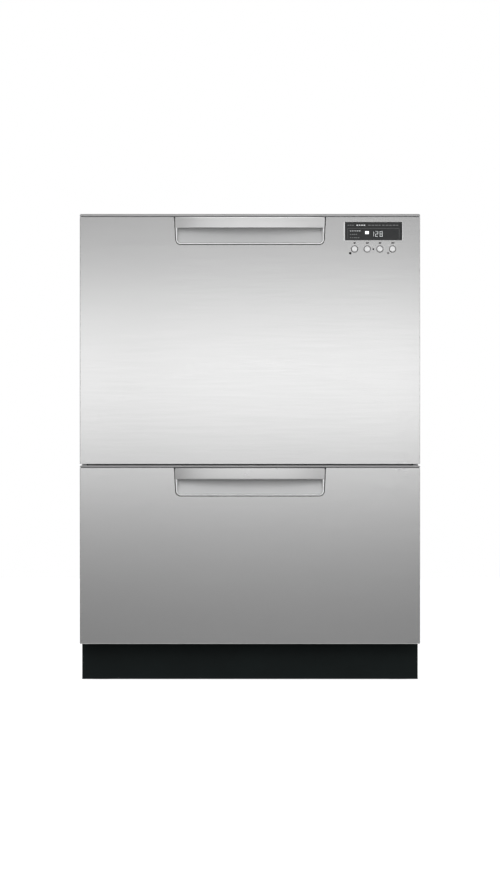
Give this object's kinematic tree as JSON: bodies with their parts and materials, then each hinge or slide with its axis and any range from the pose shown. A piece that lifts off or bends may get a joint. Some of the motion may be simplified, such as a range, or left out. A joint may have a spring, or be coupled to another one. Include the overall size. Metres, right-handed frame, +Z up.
{
  "type": "double drawer dishwasher",
  "caption": "Stainless built-in dishwasher with two stacked pull-out wash drawers, recessed bowed handles, a dark display with round buttons and a black toe kick.",
  "frame": {"origin": "middle of the footprint's bounding box, on the floor under the feet", "axes": "+Z up; the drawers open towards -Y; +X is the right-hand side seen from the front"},
  "size_m": [0.599, 0.583, 0.819],
  "materials": {
    "stainless": "brushed sideways",
    "grip_steel": "fine brushed sideways",
    "galvanised": "galvanised sheet, dull",
    "runner_steel": "zinc plated, satin",
    "filter_steel": "satin",
    "black_paint": "satin powder coat",
    "silver_plastic": "silver grey, satin",
    "button_cap": "metallised",
    "tub_plastic": "light grey, satin",
    "dark_plastic": "dark grey, matt",
    "rack_coat": "nylon-coated wire",
    "seal_rubber": "matt",
    "display_lens": "dark tinted, polished"
  },
  "bodies": {
    "cabinet": {"side_panel_left": "galvanised", "side_panel_right": "galvanised", "top_panel": "galvanised", "rear_panel": "galvanised", "centre_rail": "galvanised", "base_tray": "galvanised", "toe_kick": "black_paint", "inlet_valve": "dark_plastic", "upper_lid_actuator_left": "dark_plastic", "upper_lid_actuator_right": "dark_plastic", "lower_lid_actuator_left": "dark_plastic", "lower_lid_actuator_right": "dark_plastic"},
    "upper_drawer": {"upper_front_skin": "stainless", "upper_front_frame": "silver_plastic", "upper_handle_grip": "grip_steel", "upper_handle_pocket": "silver_plastic", "upper_tub": "tub_plastic", "upper_filter_plate": "filter_steel", "upper_wash_motor": "dark_plastic", "upper_dish_rack": "rack_coat", "upper_cutlery_basket": "tub_plastic", "upper_dispenser": "silver_plastic", "upper_runner_inner_left": "runner_steel", "upper_runner_inner_right": "runner_steel", "display_window": "display_lens"},
    "upper_runner_middles": {"upper_runner_middle_left": "runner_steel", "upper_runner_middle_right": "runner_steel"},
    "upper_lid_and_seal": {"upper_lid": "tub_plastic", "upper_lid_seal": "seal_rubber"},
    "upper_arm": {"upper_spray_arm": "tub_plastic"},
    "upper_tines": {"upper_folding_tines": "rack_coat"},
    "upper_cups": {"upper_cup_rack": "rack_coat"},
    "upper_door": {"upper_dispenser_door": "silver_plastic"},
    "lower_drawer": {"lower_front_skin": "stainless", "lower_front_frame": "silver_plastic", "lower_handle_grip": "grip_steel", "lower_handle_pocket": "silver_plastic", "lower_tub": "tub_plastic", "lower_filter_plate": "filter_steel", "lower_wash_motor": "dark_plastic", "lower_dish_rack": "rack_coat", "lower_cutlery_basket": "tub_plastic", "lower_dispenser": "silver_plastic", "lower_runner_inner_left": "runner_steel", "lower_runner_inner_right": "runner_steel"},
    "lower_runner_middles": {"lower_runner_middle_left": "runner_steel", "lower_runner_middle_right": "runner_steel"},
    "lower_lid_and_seal": {"lower_lid": "tub_plastic", "lower_lid_seal": "seal_rubber"},
    "lower_arm": {"lower_spray_arm": "tub_plastic"},
    "lower_tines": {"lower_folding_tines": "rack_coat"},
    "lower_door": {"lower_dispenser_door": "silver_plastic"},
    "button_body_1": {"button_1": "button_cap"},
    "button_body_2": {"button_2": "button_cap"},
    "button_body_3": {"button_3": "button_cap"},
    "button_body_4": {"button_4": "button_cap"},
    "foot_body_front_left": {"foot_front_left": "dark_plastic"},
    "foot_body_front_right": {"foot_front_right": "dark_plastic"},
    "foot_body_rear_left": {"foot_rear_left": "dark_plastic"},
    "foot_body_rear_right": {"foot_rear_right": "dark_plastic"}
  },
  "joints": [
    {"name": "upper_drawer_slide", "type": "slide", "parent": "cabinet", "child": "upper_drawer", "axis": [0, -1, 0], "range_m": [0, 0.54]},
    {"name": "upper_runner_slide", "type": "slide", "parent": "cabinet", "child": "upper_runner_middles", "axis": [0, -1, 0], "range_m": [0, 0.27]},
    {"name": "upper_lid_lift", "type": "slide", "parent": "cabinet", "child": "upper_lid_and_seal", "axis": [0, 0, -1], "range_m": [0, 0.012]},
    {"name": "upper_arm_spin", "type": "hinge", "parent": "upper_drawer", "child": "upper_arm", "pos_m": [0, -0.00385, 0.49], "axis": [0, 0, 1], "continuous": true},
    {"name": "upper_tines_fold", "type": "hinge", "parent": "upper_drawer", "child": "upper_tines", "pos_m": [-0.149, 0, 0.5288], "axis": [0, 1, 0], "range_deg": [0, 90]},
    {"name": "upper_cup_rack_fold", "type": "hinge", "parent": "upper_drawer", "child": "upper_cups", "pos_m": [0.2425, 0, 0.65], "axis": [0, 1, 0], "range_deg": [0, 85]},
    {"name": "upper_dispenser_open", "type": "hinge", "parent": "upper_drawer", "child": "upper_door", "pos_m": [-0.022, -0.2287, 0.697], "axis": [-1, 0, 0], "range_deg": [0, 90]},
    {"name": "lower_drawer_slide", "type": "slide", "parent": "cabinet", "child": "lower_drawer", "axis": [0, -1, 0], "range_m": [0, 0.54]},
    {"name": "lower_runner_slide", "type": "slide", "parent": "cabinet", "child": "lower_runner_middles", "axis": [0, -1, 0], "range_m": [0, 0.27]},
    {"name": "lower_lid_lift", "type": "slide", "parent": "cabinet", "child": "lower_lid_and_seal", "axis": [0, 0, -1], "range_m": [0, 0.012]},
    {"name": "lower_arm_spin", "type": "hinge", "parent": "lower_drawer", "child": "lower_arm", "pos_m": [0, -0.00385, 0.125], "axis": [0, 0, 1], "continuous": true},
    {"name": "lower_tines_fold", "type": "hinge", "parent": "lower_drawer", "child": "lower_tines", "pos_m": [-0.149, 0, 0.1636], "axis": [0, 1, 0], "range_deg": [0, 90]},
    {"name": "lower_dispenser_open", "type": "hinge", "parent": "lower_drawer", "child": "lower_door", "pos_m": [-0.022, -0.2287, 0.2754], "axis": [-1, 0, 0], "range_deg": [0, 90]},
    {"name": "button_1_press", "type": "slide", "parent": "upper_drawer", "child": "button_body_1", "axis": [0, 1, 0], "range_m": [0, 0.0012], "stiffness_N_per_m": 800},
    {"name": "button_2_press", "type": "slide", "parent": "upper_drawer", "child": "button_body_2", "axis": [0, 1, 0], "range_m": [0, 0.0012], "stiffness_N_per_m": 800},
    {"name": "button_3_press", "type": "slide", "parent": "upper_drawer", "child": "button_body_3", "axis": [0, 1, 0], "range_m": [0, 0.0012], "stiffness_N_per_m": 800},
    {"name": "button_4_press", "type": "slide", "parent": "upper_drawer", "child": "button_body_4", "axis": [0, 1, 0], "range_m": [0, 0.0012], "stiffness_N_per_m": 800},
    {"name": "foot_front_left_screw", "type": "slide", "parent": "cabinet", "child": "foot_body_front_left", "axis": [0, 0, -1], "range_m": [0, 0.045]},
    {"name": "foot_front_right_screw", "type": "slide", "parent": "cabinet", "child": "foot_body_front_right", "axis": [0, 0, -1], "range_m": [0, 0.045]},
    {"name": "foot_rear_left_screw", "type": "slide", "parent": "cabinet", "child": "foot_body_rear_left", "axis": [0, 0, -1], "range_m": [0, 0.045]},
    {"name": "foot_rear_right_screw", "type": "slide", "parent": "cabinet", "child": "foot_body_rear_right", "axis": [0, 0, -1], "range_m": [0, 0.045]}
  ],
  "couplings": [
    {"joint": "upper_runner_slide", "follows": "upper_drawer_slide", "ratio": 0.5},
    {"joint": "lower_runner_slide", "follows": "lower_drawer_slide", "ratio": 0.5}
  ]
}
